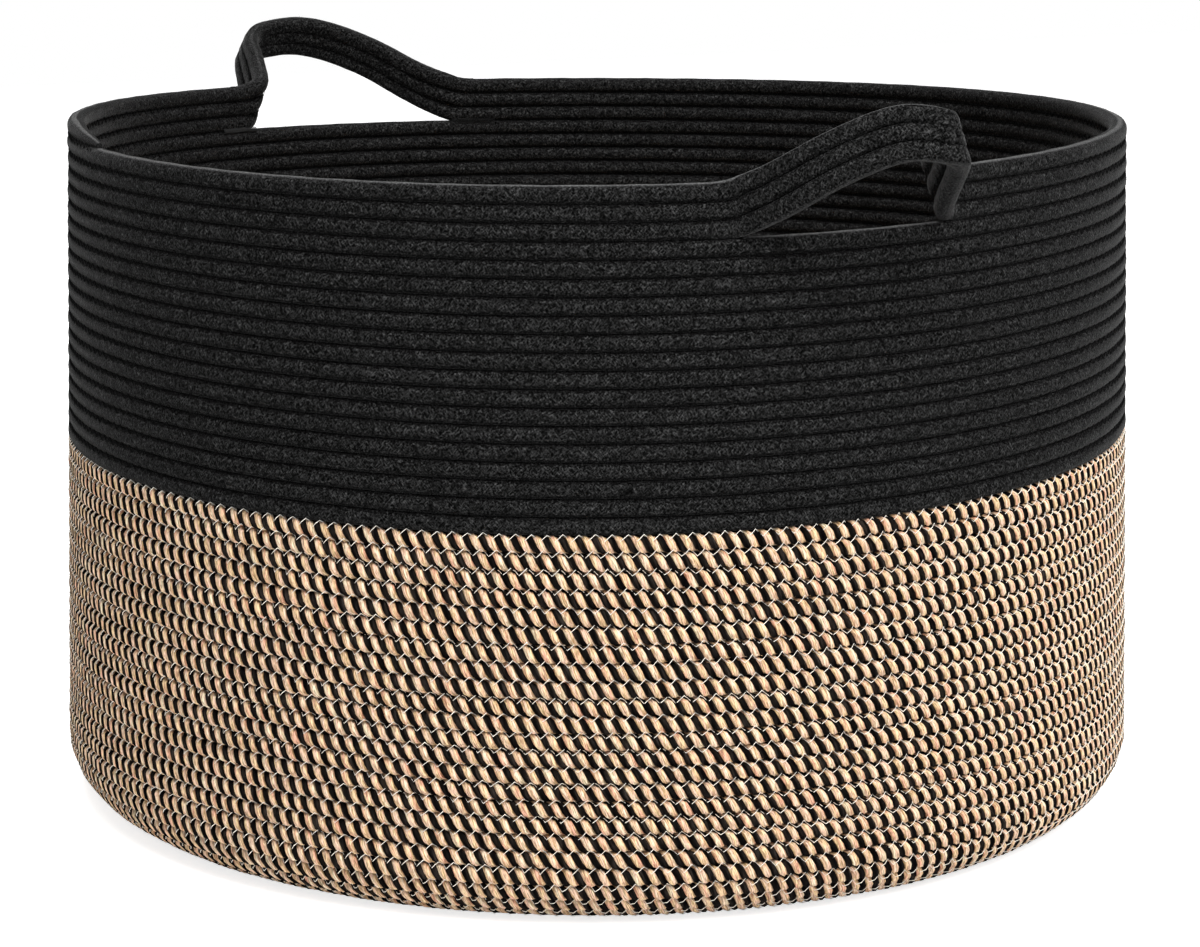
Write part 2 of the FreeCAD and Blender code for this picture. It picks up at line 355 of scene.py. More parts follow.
def colour_steps(tree, factor, steps):
    """A colour ramp over a factor."""
    ramp = tree.nodes.new("ShaderNodeValToRGB")
    while len(ramp.color_ramp.elements) < len(steps):
        ramp.color_ramp.elements.new(1.0)
    for element, (position, colour) in zip(ramp.color_ramp.elements, steps):
        element.position = position
        element.color = (*colour, 1)
    tree.links.new(factor, ramp.inputs["Fac"])
    return ramp.outputs["Color"]


def blended(tree, way, first, second):
    """Two colours added or multiplied."""
    mix = tree.nodes.new("ShaderNodeMix")
    mix.data_type = "RGBA"
    mix.blend_type = way
    mix.inputs["Factor"].default_value = 1.0
    tree.links.new(first, mix.inputs["A"])
    tree.links.new(second, mix.inputs["B"])
    return mix.outputs["Result"]


def painted_seam_shade(tree, colour, steps):
    """Darkens a colour towards the seams: painted shade where the courses meet."""
    shade = colour_steps(tree, kept_value(tree, "seamward", "Fac"), steps)
    return blended(tree, "MULTIPLY", colour, shade)


def raised(tree, shader, strength, distance, heights):
    """Bumps from several factors, one on the other."""
    normal = None
    for height in heights:
        bump = tree.nodes.new("ShaderNodeBump")
        bump.inputs["Strength"].default_value = strength
        bump.inputs["Distance"].default_value = distance
        tree.links.new(height, bump.inputs["Height"])
        if normal is not None:
            tree.links.new(normal, bump.inputs["Normal"])
        normal = bump.outputs["Normal"]
    tree.links.new(normal, shader.inputs["Normal"])


def grey(level):
    """A neutral colour."""
    return (level, level, level)


WHITE = grey(1.0)


def strand_cotton(name, tints, gloss, sheen, edges):
    """Cotton strand: each few millimetres of yarn in its own tint, fine yarns, painted shade at the strand
    edges and towards the seams, a matte face.
    """
    material, tree, shader, place = rope_fibres(name)
    patches = stretched_noise(tree, place, (170, 280, 280), 2.5)
    yarns = stretched_noise(tree, place, (330, 1200, 1200), 3.0)
    knots = stretched_noise(tree, place, (750, 900, 900), 2.0)
    lint = stretched_noise(tree, place, (1500, 1500, 1500), 2.0)
    shades = colour_steps(tree, yarns, ((0.38, (0.64, 0.58, 0.51)), (0.53, WHITE)))
    lumps = colour_steps(tree, knots, ((0.39, (0.54, 0.48, 0.41)), (0.52, WHITE)))
    # Painted shade at each strand's edges, where it turns down into the grooves between strands.
    across = tree.nodes.new("ShaderNodeSeparateXYZ")
    tree.links.new(place, across.inputs["Vector"])
    from_crown = tree.nodes.new("ShaderNodeMath")
    from_crown.operation = "ABSOLUTE"
    tree.links.new(across.outputs["Z"], from_crown.inputs[0])
    in_widths = tree.nodes.new("ShaderNodeMath")
    in_widths.operation = "DIVIDE"
    in_widths.inputs[1].default_value = ROPE_HALF_WIDTH
    tree.links.new(from_crown.outputs["Value"], in_widths.inputs[0])
    painted_edge_shade = colour_steps(tree, in_widths.outputs["Value"], edges)
    cotton = colour_steps(tree, patches, tints)
    for shade in (shades, lumps, painted_edge_shade):
        cotton = blended(tree, "MULTIPLY", cotton, shade)
    # Painted shade towards the seams: a dark line under each course.
    cotton = painted_seam_shade(tree, cotton, (
        (0.89, WHITE),
        (0.95, (0.66, 0.54, 0.44)),
        (0.99, (0.08, 0.05, 0.03)),
    ))
    tree.links.new(cotton, shader.inputs["Base Color"])
    shader.inputs["Roughness"].default_value = 0.92
    shader.inputs["Specular IOR Level"].default_value = gloss
    shader.inputs["Sheen Weight"].default_value = sheen
    shader.inputs["Sheen Roughness"].default_value = 0.4
    raised(tree, shader, 0.8, 0.0003, (yarns, knots, lint))
    return material


# The last steps are the painted shade at the strand edges; the black strands are left as they are.
tan_cotton = strand_cotton("tan_strand", (
    (0.36, (0.92, 0.52, 0.37)),
    (0.45, (0.98, 0.76, 0.44)),
    (0.54, (0.97, 0.65, 0.51)),
    (0.64, (0.99, 0.86, 0.62)),
), 0.25, 0.12, ((0.40, WHITE), (0.52, (0.82, 0.77, 0.71)), (0.61, (0.50, 0.41, 0.33))))
dark_cotton = strand_cotton("dark_strand", (
    (0.32, (0.0014, 0.0009, 0.0012)),
    (0.52, (0.0085, 0.0074, 0.0070)),
    (0.70, (0.0340, 0.0280, 0.0250)),
), 0.03, 0.0, ((0.0, WHITE), (1.0, WHITE)))

BASE_HALF = 20              # the base's inner and outer turns are two pieces of about the same length
for name, first_turn, last_turn, nodes_held in (
    ("base_rope_inner", FIRST_TURN, BASE_HALF, ["base_centre", "base_coil"]),
    ("base_rope_outer", BASE_HALF, BASE_TURNS, ["base_coil"]),
):
    stretch = two_tone_rope(name, first_turn, last_turn, False, 6)
    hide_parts(*nodes_held)


# ---------------------------------------------------------------- edge and lower wall: the same rope, rising
# After the flat turns the rope rounds the edge in five turns and goes on up the wall for nineteen more. It is
# one length of rope; it is cut into stretches here only to keep each piece to a workable size.
WALL_STRETCHES = [
    ("edge_rope", BASE_TURNS, 34, ["edge_courses"]),
    ("two_tone_rope_1", 34, 39, ["two_tone_wall_lower"]),
    ("two_tone_rope_2", 39, 44, ["two_tone_wall_lower"]),
    ("two_tone_rope_3", 44, 48.5, ["two_tone_wall_upper"]),
    ("two_tone_rope_4", 48.5, TWO_TONE_TURNS, ["two_tone_wall_upper"]),
]
for name, first_turn, last_turn, bands in WALL_STRETCHES:
    stretch = two_tone_rope(name, first_turn, last_turn, True, 8)
    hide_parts(*bands)


# ---------------------------------------------------------------- upper wall: black felted rope
# A black cotton rope with a felted skin takes over behind, end against end, and goes on round the wall.
# Nothing shows of its inner yarns: its face is a dense nap with a little lint in it.
FELT_STEP = 0.0042
FELT_SIDES = 16
FELT_PRESS = 2.7            # pressed less square than the harder two-tone rope
NAP_LUMPS = 0.016           # how lumpy the felted face is along the rope and round it, in radii
NAP_TURNS = 0.012
STITCH_PULL = 0.02          # how far a stitch pulls it in
HIGHLIGHT_REACH = 0.2             # how far in over a free edge the painted highlight reaches, in half widths
THINNED = 0.30              # the rope's last end is sewn down this thin, over this length
THINNED_LENGTH = 0.060
BLACK_HALF = 61             # the black wall's lower and upper turns are two pieces
UPPER_SIDE_LIGHTER = 0.10             # the painted seam shade starts this much nearer to the seam on a rope's upper side, painting each course lighter on top
STITCH_LENGTH = 0.0073      # one zigzag of the sewing thread
HANDLES = [
    # body, direction of its middle, half the chord between its roots
    ("right_handle", math.radians(-4.3), 0.0516),
    ("left_handle", math.radians(184.3), 0.0670),
]
SEWN_TURNS = 69             # the turns that are sewn down all the way round
RIM_RADIUS = float(meridian(CURL_RADIUS + COURSE * (SEWN_TURNS + 0.5))[0])
ROOT_REACH = 0.014          # how far past its root a handle's rope is one piece with the wall's


def turn_at(azimuth, after):
    """The first turn count past this one at which the rope passes an azimuth."""
    turns = (azimuth - START_AZIMUTH) / FULL_TURN
    return turns + math.ceil(after - turns)


(right_name, right_azimuth, _), (left_name, left_azimuth, _) = HANDLES
# The angle from each handle's middle to where its rope becomes a piece of the wall's.
right_reach, left_reach = (math.asin((half_span + ROOT_REACH) / RIM_RADIUS) for _, _, half_span in HANDLES)
wall_end = turn_at(right_azimuth - right_reach, SEWN_TURNS)


def half_hole(half_span):
    """Half of a hand hole, in turns."""
    return math.asin(half_span / RIM_RADIUS) / FULL_TURN


hole_floors = []
for body, azimuth, half_span in HANDLES:
    middle = turn_at(azimuth, wall_end) - 1
    hole_floors.append((middle - half_hole(half_span), middle + half_hole(half_span)))


def open_above(turns):
    """True where nothing is sewn on above: at the rim's edge and on the hand holes' floors."""
    bare = turns > LAST_TURN - 1
    for first_turn, last_turn in hole_floors:
        bare = bare | ((turns > first_turn) & (turns < last_turn))
    return bare


def felt_section():
    """The felted rope's section at radius 1."""
    return [(math.cos(FULL_TURN * side / FELT_SIDES), math.sin(FULL_TURN * side / FELT_SIDES))
            for side in range(FELT_SIDES)]


def straight_felt(name, length, step=FELT_STEP):
    """A straight felted rope of this length, at radius 1 across, and its points."""
    copies = max(round(length / step), 2)
    mesh = lengthen(name, spun_section(felt_section(), length / copies, 1, 0), length / copies, copies)
    return mesh, points_of(mesh)


def napped(along, inward, upward):
    """The lumps and hollows of felted rope and the stitches' pull at its seams, as a factor on its radius."""
    angle = np.arctan2(upward, inward)
    lumps = drift(along, 21, (0.009, 0.014, 0.023), 1.0)
    turning = drift(along + 0.006 * angle, 22, (0.011, 0.017, 0.031), 1.0)
    seam = np.exp(-((np.abs(np.cos(angle)) / 0.55) ** 2))
    puckers = np.cos(FULL_TURN * 2 * along / STITCH_LENGTH) * seam
    return 1 + NAP_LUMPS * lumps + NAP_TURNS * turning + STITCH_PULL * puckers


def wound_felt(name, stretches):
    """Stretches of felted rope, each given by its first and last turn, wound and joined as one piece."""
    meshes = []
    for number, (first_turn, last_turn) in enumerate(stretches):
        start, end = length_at(first_turn), length_at(last_turn)
        mesh, straight = straight_felt(f"{name}_{number}", end - start)
        along = straight[:, 0] + start
        inward, upward = straight[:, 1], straight[:, 2]
        rope_place = np.column_stack((along, inward * ROPE_HALF_WIDTH, upward * ROPE_HALF_HEIGHT))
        nap = napped(along, inward, upward)
        inward, upward = squared(inward * nap, upward * nap, FELT_PRESS)
        bare = (upward > 0) & open_above(turns_at(along))
        # Painted shade towards the seams, none on a free edge, and starting later on the upper side so each
        # course is painted lighter on top.
        seamward = np.where(bare, 0, np.abs(upward) - UPPER_SIDE_LIGHTER * (upward > 0))
        from_end = np.clip((rope_lengths[-1] - along) / THINNED_LENGTH, 0, 1)
        thin = THINNED + (1 - THINNED) * from_end ** 0.7
        placed = wound(turns_at(along), -inward * ROPE_HALF_WIDTH * thin + slack_at(along),
                       (upward * thin - (1 - thin)) * ROPE_HALF_HEIGHT)
        # The last values are the painted highlight along the free upper edges of the rim and the hand holes.
        place_points(mesh, placed, rope_place, seamward, np.where(bare & (inward < HIGHLIGHT_REACH), upward, 0))
        meshes.append(mesh)
    rope = in_scene(name, joined_mesh(name, meshes))
    rope.data.materials.append(black_felt)
    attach(rope, "root")
    return rope


FELT_FIBRE = (0.0021, 0.0007, 0.00065)      # the short fibres' pattern: along the rope and across it


def felt_cotton():
    """Black felted cotton: a nap of short fibres that lean both ways, lighter here and there, with painted
    shade towards the seams and a painted highlight along the free edges.
    """
    material, tree, shader, place = rope_fibres("black_felt")
    nap = stretched_noise(tree, place, (1100, 1250, 1250), 3.0)
    rising = mapped_noise(tree, place, "TEXTURE", math.radians(52), FELT_FIBRE, 2.0)
    falling = mapped_noise(tree, place, "TEXTURE", math.radians(-47), FELT_FIBRE, 2.0)
    tufts = stretched_noise(tree, place, (290, 360, 360), 2.0)
    base = colour_steps(tree, nap, (
        (0.38, grey(0.0012)),
        (0.50, grey(0.0036)),
        (0.60, grey(0.0105)),
        (0.70, grey(0.0290)),
    ))
    for fibres in (rising, falling):
        base = blended(tree, "ADD", base, colour_steps(tree, fibres, (
            (0.47, grey(0.0)),
            (0.60, grey(0.0120)),
            (0.71, grey(0.047)),
        )))
    shades = colour_steps(tree, tufts, ((0.3, grey(0.48)), (0.7, WHITE)))
    base = blended(tree, "MULTIPLY", base, shades)
    # Painted shade towards the seams.
    base = painted_seam_shade(tree, base, (
        (0.56, WHITE),
        (0.78, grey(0.72)),
        (0.90, grey(0.44)),
        (0.97, grey(0.14)),
    ))
    # Painted highlight along the free edges, broken up by the rising fibres.
    edge = kept_value(tree, "bare_edge", "Fac")
    painted_edge_highlight = colour_steps(tree, edge, ((0.84, grey(0.0)), (0.97, grey(0.08))))
    sparse = colour_steps(tree, rising, ((0.40, grey(0.35)), (0.60, WHITE)))
    base = blended(tree, "ADD", base, blended(tree, "MULTIPLY", painted_edge_highlight, sparse))
    tree.links.new(base, shader.inputs["Base Color"])
    shader.inputs["Roughness"].default_value = 0.95
    shader.inputs["Specular IOR Level"].default_value = 0.01
    shader.inputs["Sheen Weight"].default_value = 0.12
    shader.inputs["Sheen Roughness"].default_value = 0.25
    raised(tree, shader, 0.7, 0.0004, (nap, rising, falling))
    return material


black_felt = felt_cotton()
black_wall_lower = wound_felt("black_rope_lower", [(TWO_TONE_TURNS, BLACK_HALF)])
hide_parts("black_wall_lower")
black_wall_upper = wound_felt("black_rope_upper", [(BLACK_HALF, wall_end)])
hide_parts("black_wall_upper")


# ---------------------------------------------------------------- rim: the same rope between the handles
# The last three turns are sewn to the wall only between the two handles. The rope's end is thinned and sewn
# down on the turn below it, near the left side.
rear_stretches = []
front_stretches = []
root_turns = {right_name: [], left_name: []}
for course in range(3):
    right_start = turn_at(right_azimuth - right_reach, wall_end + course - 0.01)
    right_end = turn_at(right_azimuth + right_reach, right_start)
    left_start = turn_at(left_azimuth - left_reach, right_end)
    left_end = turn_at(left_azimuth + left_reach, left_start)
    next_right = turn_at(right_azimuth - right_reach, left_end)
    root_turns[right_name].append((right_start, right_end))
    root_turns[left_name].append((left_start, left_end))
    rear_stretches.append((right_end, left_start))
    front_stretches.append((left_end, min(next_right, LAST_TURN)))
rim_rear = wound_felt("rim_rear_rope", rear_stretches)
rim_front = wound_felt("rim_front_rope", front_stretches)
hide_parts("rim_rear")
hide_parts("rim_front")


# ---------------------------------------------------------------- handles: straps of three loose ropes
# Over each hand hole the last three turns leave the wall as a strap of three ropes, sewn side by side. It
# rises gently from one root, bows out and up, and comes down a steep leg into a tight fold at the other.
LOWER_ROUTE = [
    # share of the half span, outwards from the rim, up from the hand hole's floor
    (-0.77, 0.0131, 0.0137), (-0.46, 0.0356, 0.0297), (0.05, 0.0490, 0.0415), (0.40, 0.0560, 0.0385),
    (0.54, 0.0530, 0.0365), (0.64, 0.0445, 0.0335), (0.76, 0.0290, 0.0250), (0.87, 0.0115, 0.0140),
    (1.00, -0.0045, 0.0045),
]
UPPER_ROUTE = [
    (-0.80, 0.0055, 0.0294), (-0.50, 0.0277, 0.0446), (0.02, 0.0415, 0.0572), (0.33, 0.0520, 0.0557),
    (0.48, 0.0495, 0.0513), (0.61, 0.0355, 0.0480), (0.70, 0.0200, 0.0420), (0.80, 0.0055, 0.0325),
    (0.94, -0.0125, 0.0250),
]
HANDLE_SET = {
    # how each has taken its own set: its lower rope's lift, how far its lower and its upper rope's corner lie
    # further along (in half spans), and how far its fold does
    "right_handle": (0.0006, -0.010, 0.008, 0.012),
    "left_handle": (0.0022, 0.030, 0.050, -0.020),
}
CORNER_AT, CORNER_WIDTH = 0.52, 0.35     # along the half span
CORNER_SINK = 0.06          # the upper rope's corner sinks by this much as it moves along
FOLD_AT, FOLD_LENGTH = 0.6, 0.3
ROOT_LIFT = 0.0025          # how far the upper rope has risen before the root


def strap_controls(body, azimuth, half_span, share, turns):
    """Control points of one of a strap's ropes: round the rim, over the handle, and round the rim again.

    The share is 0 for the strap's lower rope, and 1 for its upper one.
    """
    chord = Vector((-math.sin(azimuth), math.cos(azimuth), 0))
    outward = Vector((math.cos(azimuth), math.sin(azimuth), 0))
    lift, lower_corner, upper_corner, fold = HANDLE_SET[body]
    corner = lower_corner + (upper_corner - lower_corner) * share
    rest = (turns[1] - turns[0]) / 2 - half_hole(half_span)
    before = wound(turns[0] + np.array([0.0, 0.5, 1.0]) * rest, 0, 0)
    after = wound(turns[1] - np.array([0.45, 0.2, 0.0]) * rest, 0, 0)
    before[-1][2] += ROOT_LIFT * share
    points = [Vector(point) for point in before]
    for lower, upper in zip(LOWER_ROUTE, UPPER_ROUTE):
        along, out, up = (a + (b - a) * share for a, b in zip(lower, upper))
        floor = before[0][2] + (after[0][2] - before[0][2]) * (along + 1) / 2 - (0.5 + 2 * share) * COURSE
        cornered = corner * max(1 - ((along - CORNER_AT) / CORNER_WIDTH) ** 2, 0)
        up += lift * (1 - share) * (1 - along ** 2) - CORNER_SINK * cornered * share
        along += cornered + fold * max(along - FOLD_AT, 0) / FOLD_LENGTH
        points.append(outward * (RIM_RADIUS + out) + chord * (along * half_span) + Vector((0, 0, floor + up)))
    points += [Vector(point) for point in after]
    return points


def smooth_line(controls):
    """Points along the smooth curve that the control points give."""
    curve = bpy.data.curves.new("line", "CURVE")
    curve.dimensions = "3D"
    spline = curve.splines.new("NURBS")
    spline.points.add(len(controls) - 1)
    for point, control in zip(spline.points, controls):
        point.co = (*control, 1)
    spline.order_u = 3
    spline.use_endpoint_u = True
    spline.resolution_u = 12
    holder = in_scene("line", curve)
    mesh = worked_out(holder)
    line = points_of(mesh)
    bpy.data.objects.remove(holder)
    bpy.data.curves.remove(curve)
    bpy.data.meshes.remove(mesh)
    return line


def distances_along(line):
    """How far along a line each of its points is."""
    return np.concatenate(([0.0], np.cumsum(np.linalg.norm(np.diff(line, axis=0), axis=1))))


def unit(rows):
    """Directions of length 1."""
    return rows / np.linalg.norm(rows, axis=1, keepdims=True)


def bent(line, towards_upper, along, inward, upward):
    """Straight points carried onto a line, with the strap's width lying towards its upper rope."""
    distances = distances_along(line)
    forward = unit(np.gradient(line, distances, axis=0))
    up_directions = unit(towards_upper - forward * np.sum(towards_upper * forward, axis=1, keepdims=True))
    in_directions = np.cross(up_directions, forward)
    placed = np.zeros((len(along), 3))
    for axis in range(3):
        placed[:, axis] = (np.interp(along, distances, line[:, axis])
                           + inward * np.interp(along, distances, in_directions[:, axis])
                           + upward * np.interp(along, distances, up_directions[:, axis]))
    return placed


def hinged(piece):
    """Bakes a handle's piece's placement into its mesh."""
    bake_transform(piece)


STRAP_ROPES = ["lower", "middle", "upper"]
EDGE_SIDES = [-1, 0, 1]     # each rope's free edge: below, none, above
EDGE_HIGHLIGHT = {"right_handle": 1.0, "left_handle": 0.87}       # strength of the painted highlight along each strap's free edges, weaker on the left handle
LOWER_HIGHLIGHT = 0.865           # the painted highlight is held weaker along a lower edge
TIGHT_AT, TIGHT_LENGTH = 0.60, 0.07       # where along its rope a strap is bent tightest
LOOSE_PRESS, TIGHT_PRESS = 0.6, 2.5       # how much squarer a rope is when loose, and when bent tightly
LOOSE_THINNER = 0.05        # and how much narrower it is when loose
STRAP_TALLER = 1.05         # the strap's ropes press into each other
strap_lines = {}
for body, azimuth, half_span in HANDLES:
    lines = []
    for number, turns in enumerate(root_turns[body]):
        lines.append(smooth_line(strap_controls(body, azimuth, half_span, number / 2, turns)))
    strap_lines[body] = lines
    for rope_name, edge_side, line, turns in zip(STRAP_ROPES, EDGE_SIDES, lines, root_turns[body]):
        name = f"{body}_{rope_name}_rope"
        length = distances_along(line)[-1]
        mesh, straight = straight_felt(name + "_felt", length, FELT_STEP / 2)
        along, inward, upward = straight.T
        share = along / length
        loose = np.clip(8 * share * (1 - share), 0, 1) ** 2
        from_start = napped(length_at(turns[0]) + along, inward, upward)
        to_end = napped(length_at(turns[1]) + along - length, inward, upward)
        nap = from_start * (1 - share) + to_end * share
        rope_place = np.column_stack((length_at(turns[0]) + along, inward * ROPE_HALF_WIDTH,
                                      upward * ROPE_HALF_HEIGHT))
        tight = np.exp(-(((share - TIGHT_AT) / TIGHT_LENGTH) ** 2))
        press = FELT_PRESS + LOOSE_PRESS * loose + TIGHT_PRESS * tight
        inward, upward = squared(inward * nap, upward * nap, press)
        bare = upward * edge_side > 0
        # Painted shade towards the seams, none on a free edge, and lighter on each rope's upper side.
        seamward = np.where(bare, 0, np.abs(upward) - UPPER_SIDE_LIGHTER * (upward > 0))
        # Painted highlight along the strap's free edges.
        edge_highlight = np.clip(upward, -LOWER_HIGHLIGHT, 1) * edge_side * EDGE_HIGHLIGHT[body]
        edge_highlight = np.where(bare & (inward < HIGHLIGHT_REACH), edge_highlight, 0)
        placed = bent(line, lines[2] - lines[0], along,
                      inward * ROPE_HALF_WIDTH * (1 - LOOSE_THINNER * loose),
                      upward * ROPE_HALF_HEIGHT * STRAP_TALLER)
        place_points(mesh, placed, rope_place, seamward, edge_highlight)
        mesh.materials.append(black_felt)
        strap_rope = in_scene(name + "_felt", mesh)
        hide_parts(name)
        hinged(strap_rope)


# ---------------------------------------------------------------- fuzz: loose fibres along the free edges
# Single cotton fibres have worked loose and stand out from the black rope wherever no other rope lies on it.
FIBRE_RADIUS = 0.000028
FIBRE_LENGTHS = (0.0009, 0.0026)
RIM_FIBRES, WALL_FIBRES, STRAP_FIBRES = 0.0011, 0.0060, 0.0009      # the steps from fibre to fibre
UNCOVERED = 0.31            # the last part of a turn in front that the rope's end leaves bare


def fibre_row(name, length, spacing):
    """A straight row of upright fibres of height 1, its points, and which fibre each point belongs to."""
    bm = bmesh.new()
    bmesh.ops.create_cone(bm, segments=3, radius1=FIBRE_RADIUS, radius2=FIBRE_RADIUS * 0.3, depth=1.0,
                          cap_ends=True, matrix=Matrix.Translation((0, 0, 0.5)))
    upright = [edge for edge in bm.edges if abs(edge.verts[0].co.z - edge.verts[1].co.z) > 0.5]
    bmesh.ops.subdivide_edges(bm, edges=upright, cuts=2, use_grid_fill=False)
    bm.transform(Matrix.Translation((spacing / 2, 0, 0)))
    mesh = lengthen(name, bm, spacing, max(round(length / spacing), 2))
    straight = points_of(mesh)
    return mesh, straight, np.floor(straight[:, 0] / spacing).astype(int)


def stood_out(straight, number, spacing, seed, edge_side):
    """Bends a row of fibres every way and spreads them over a rope's edge (or all over its faces)."""
    random = np.random.default_rng(seed)
    many = number.max() + 1
    share = straight[:, 2]
    length = random.uniform(*FIBRE_LENGTHS, many)[number] * random.uniform(0.6, 1.0, many)[number]
    leaning, curl = random.normal(0, 0.6, (2, many))
    along = straight[:, 0] + random.uniform(-0.5, 0.5, many)[number] * spacing
    along = along + length * (leaning[number] * share + curl[number] * share ** 2)
    if edge_side:
        start = random.uniform(-0.35, 0.35, many)[number] * math.pi + edge_side * math.pi / 2
    else:
        start = random.choice([0, math.pi], many)[number] + random.uniform(-0.5, 0.5, many)[number]
    inward, upward = squared(np.cos(start), np.sin(start), FELT_PRESS)
    away = length * share
    return (along, inward * ROPE_HALF_WIDTH + straight[:, 1] + away * np.cos(start),
            upward * ROPE_HALF_HEIGHT + away * np.sin(start) + length * 0.4 * share ** 2 * leaning[number])


def wall_fuzz(name, stretches, spacing, edge_side):
    """Loose fibres on stretches of the wound rope."""
    meshes = []
    for number, (first_turn, last_turn) in enumerate(stretches):
        start, end = length_at(first_turn), length_at(last_turn)
        mesh, straight, fibre = fibre_row(f"{name}_{number}", end - start, spacing)
        along, inward, upward = stood_out(straight, fibre, spacing, 50 + number, edge_side)
        along = np.clip(along + start, start, end)
        placed = wound(turns_at(along), -inward, upward)
        place_points(mesh, placed, straight)
        meshes.append(mesh)
    fibres = in_scene(name, joined_mesh(name, meshes))
    fibres.data.materials.append(loose_fibre)
    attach(fibres, "root")


loose_fibre = bpy.data.materials.new("loose_fibre")
loose_fibre.use_nodes = True
fibre_face = loose_fibre.node_tree.nodes["Principled BSDF"]
fibre_face.inputs["Base Color"].default_value = (0.035, 0.035, 0.035, 1)
fibre_face.inputs["Roughness"].default_value = 0.8
fibre_face.inputs["Specular IOR Level"].default_value = 0.3

uncovered = (front_stretches[-2][1] - UNCOVERED, front_stretches[-2][1])
free_edges = [rear_stretches[-1], uncovered, front_stretches[-1]] + hole_floors
wall_fuzz("rim_edge_fuzz", free_edges, RIM_FIBRES, 1)
wall_fuzz("wall_fuzz", [(TWO_TONE_TURNS, wall_end)], WALL_FIBRES, 0)
for body, azimuth, half_span in HANDLES:
    lines = strap_lines[body]
    for line, edge_name, edge_side in ((lines[0], "lower", -1), (lines[2], "upper", 1)):
        name = f"{body}_{edge_name}_fuzz"
        length = distances_along(line)[-1]
        mesh, straight, fibre = fibre_row(name, length, STRAP_FIBRES)
        along, inward, upward = stood_out(straight, fibre, STRAP_FIBRES, 60 + edge_side, edge_side)
        placed = bent(line, lines[2] - lines[0], np.clip(along, 0, length), inward, upward)
        place_points(mesh, placed, straight)
        mesh.materials.append(loose_fibre)
        fibres = in_scene(name, mesh)
        hinged(fibres)


# ---------------------------------------------------------------- sewing: zigzag stitches across every seam
# A cotton thread, off-white on the two-tone rope and black on the black one, zigzags across each seam. It
# goes down at a needle hole on either side and lies tight between them, inside the basket and outside.
THREAD_RADIUS = 0.00022
# reach from the seam, depth of the needle holes, depths at which the rising and the falling stitch cross
NATURAL_SEWING = (0.0017, 0.0035, 0.0043, 0.0018)
BLACK_SEWING = (0.0017, 0.0038, 0.0040, 0.0040)
TACK_SEWING = (0.0017, 0.0040, 0.0052, 0.0052)
TACK_STITCH = 0.0006
TACK_LENGTH = 0.027
SEAM_DROP = 0.0009          # below the black rope the off-white seam lies this much lower
SEAM_DROP_RATE = 400        # the whole drop takes 1/400 of a turn


def zigzag(side, sewing, stitch_length, sides):
    """One zigzag of thread along X, on the outer (1) or inner (-1) side of a seam; plainer if three-sided."""
    reach, holes, rising, falling = sewing
    route = [(0, holes, -1), (0.25, rising, 0), (0.5, holes, 1), (0.75, falling, 0), (1, holes, -1)]
    if sides == 3:
        evenly = (holes + rising) / 2
        route = [(0, evenly, -1), (0.5, evenly, 1), (1, evenly, -1)]
    corners = [Vector((share * stitch_length, -side * depth, way * reach)) for share, depth, way in route]
    bm = bmesh.new()
    angles = [FULL_TURN * number / sides for number in range(sides)]
    verts = [bm.verts.new(corners[0] + THREAD_RADIUS * Vector((0, math.cos(angle), math.sin(angle))))
             for angle in angles]
    edges = [bm.edges.new((a, b)) for a, b in zip(verts, verts[1:] + verts[:1])]
    for here, there in zip(corners, corners[1:]):
        grown = bmesh.ops.extrude_edge_only(bm, edges=edges)["geom"]
        edges = [item for item in grown if isinstance(item, bmesh.types.BMEdge)]
        moved = [item for item in grown if isinstance(item, bmesh.types.BMVert)]
        bmesh.ops.translate(bm, verts=moved, vec=there - here)
    for face in bm.faces:
        face.smooth = True
    return bm


def sewn(name, stretches, side, sewing, thread, slot, stitch_length=STITCH_LENGTH, sides=4):
    """The stitches above several stretches of turns, wound with the rope and joined as one piece."""
    meshes = []
    for number, (first_turn, last_turn) in enumerate(stretches):
        start, end = length_at(first_turn), length_at(last_turn)
        copies = round((end - start) / stitch_length)
        lay = zigzag(side, sewing, stitch_length, sides)
        mesh = lengthen(f"{name}_{number}", lay, stitch_length, copies)
        straight = points_of(mesh)
        straight[:, 0] = straight[:, 0] * (end - start) / (copies * stitch_length) + start
        along = straight[:, 0] + drift(straight[:, 0], 31, (0.05, 0.17, 0.61), 0.0006)
        turns = turns_at(along)
        past_change = np.clip((turns - TWO_TONE_TURNS + 1) * SEAM_DROP_RATE, 0, 1)
        lowered = SEAM_DROP * past_change * (slot == "natural_thread")
        placed = wound(turns, -straight[:, 1] + slack_at(along),
                       straight[:, 2] * (1 + drift(along, 33, (0.007, 0.019), 0.2)) + COURSE / 2
                       + drift(along, 35, (0.016, 0.043), 0.00022) - lowered)
        place_points(mesh, placed, straight)
        meshes.append(mesh)
    stitches = in_scene(name, joined_mesh(name, meshes))
    stitches.data.materials.append(thread)
    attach(stitches, "root")
    return stitches


def thread_cotton(name, colours, gloss):
    """Twisted sewing thread: fine plies along it, a slight lustre."""
    material, tree, shader, place = rope_fibres(name)
    plies = stretched_noise(tree, place, (900, 2400, 2400), 2.0)
    tree.links.new(colour_steps(tree, plies, colours), shader.inputs["Base Color"])
    shader.inputs["Roughness"].default_value = 0.7
    shader.inputs["Specular IOR Level"].default_value = gloss
    raised(tree, shader, 0.4, 0.0001, (plies,))
    return material


natural_thread = thread_cotton("natural_thread", ((0.3, (0.78, 0.71, 0.60)), (0.65, (0.98, 0.94, 0.88))), 0.4)
black_thread = thread_cotton("black_thread", ((0.3, grey(0.0006)), (0.65, grey(0.004))), 0.04)

